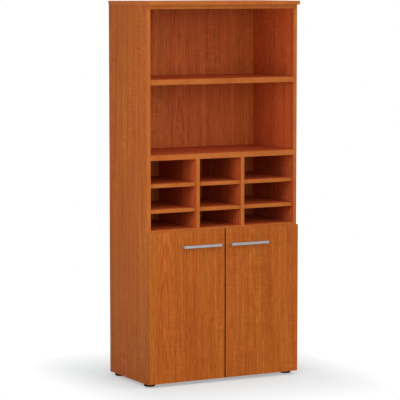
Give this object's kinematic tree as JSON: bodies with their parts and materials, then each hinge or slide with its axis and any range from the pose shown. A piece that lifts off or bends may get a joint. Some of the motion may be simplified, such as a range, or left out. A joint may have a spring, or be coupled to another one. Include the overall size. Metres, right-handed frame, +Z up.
{
  "type": "office sorting cabinet",
  "caption": "Tall office cabinet with open shelf bays above, a grid of pigeonholes in the middle and a cupboard with hinged doors and bow handles below.",
  "frame": {"origin": "on the floor, under the middle of the cabinet's bounding box (handles included)", "axes": "+Z up, -Y out of the front with the doors, +X to the right when facing the front"},
  "size_m": [0.8, 0.44, 1.784],
  "materials": {
    "cherry_laminate": "satin cherry-grain laminate on chipboard",
    "edge_band": "satin plain cherry edging",
    "back_board": "satin cherry-grain hardboard",
    "handle_metal": "satin",
    "foot_plastic": "matte black",
    "steel": "nickel plated",
    "zinc": "die-cast zinc, dull",
    "beech": "plain beech",
    "bumper": "soft clear-grey"
  },
  "bodies": {
    "cabinet": {"back_panel": "back_board", "bottom_panel": "cherry_laminate", "cam_bolts": "steel", "cam_discs": "zinc", "carcass_top": "cherry_laminate", "cupboard_shelf": "cherry_laminate", "dowels": "beech", "foot_front_left": "foot_plastic", "foot_front_right": "foot_plastic", "foot_rear_left": "foot_plastic", "foot_rear_right": "foot_plastic", "foot_screws": "steel", "foot_sleeves": "steel", "hinge_arm_left_lower": "steel", "hinge_arm_left_upper": "steel", "hinge_arm_right_lower": "steel", "hinge_arm_right_upper": "steel", "hinge_plate_left_lower": "steel", "hinge_plate_left_upper": "steel", "hinge_plate_right_lower": "steel", "hinge_plate_right_upper": "steel", "hinge_plate_screws": "steel", "left_divider": "cherry_laminate", "left_side": "cherry_laminate", "pigeonhole_edge_bands": "edge_band", "pigeonhole_floor": "cherry_laminate", "pigeonhole_pins": "steel", "pigeonhole_roof": "cherry_laminate", "pigeonhole_shelf_lower_left": "cherry_laminate", "pigeonhole_shelf_lower_middle": "cherry_laminate", "pigeonhole_shelf_lower_right": "cherry_laminate", "pigeonhole_shelf_upper_left": "cherry_laminate", "pigeonhole_shelf_upper_middle": "cherry_laminate", "pigeonhole_shelf_upper_right": "cherry_laminate", "right_divider": "cherry_laminate", "right_side": "cherry_laminate", "shelf_edge_bands": "edge_band", "shelf_pins": "steel", "side_edge_bands": "edge_band", "top_edge_bands": "edge_band", "top_panel": "cherry_laminate", "top_screws": "steel", "upper_shelf": "cherry_laminate"},
    "left_door": {"left_bumpers": "bumper", "left_cup_screws": "steel", "left_door": "cherry_laminate", "left_door_edge_bands": "edge_band", "left_handle": "handle_metal", "left_handle_screws": "steel", "left_hinge_cups": "steel", "left_hinge_pins": "steel"},
    "right_door": {"right_bumpers": "bumper", "right_cup_screws": "steel", "right_door": "cherry_laminate", "right_door_edge_bands": "edge_band", "right_handle": "handle_metal", "right_handle_screws": "steel", "right_hinge_cups": "steel", "right_hinge_pins": "steel"}
  },
  "joints": [
    {"name": "left_door_hinge", "type": "hinge", "parent": "cabinet", "child": "left_door", "pos_m": [-0.3892, -0.1905, 0.37055], "axis": [0, 0, -1], "range_deg": [0, 95]},
    {"name": "right_door_hinge", "type": "hinge", "parent": "cabinet", "child": "right_door", "pos_m": [0.3892, -0.1905, 0.37055], "axis": [0, 0, 1], "range_deg": [0, 95]}
  ]
}
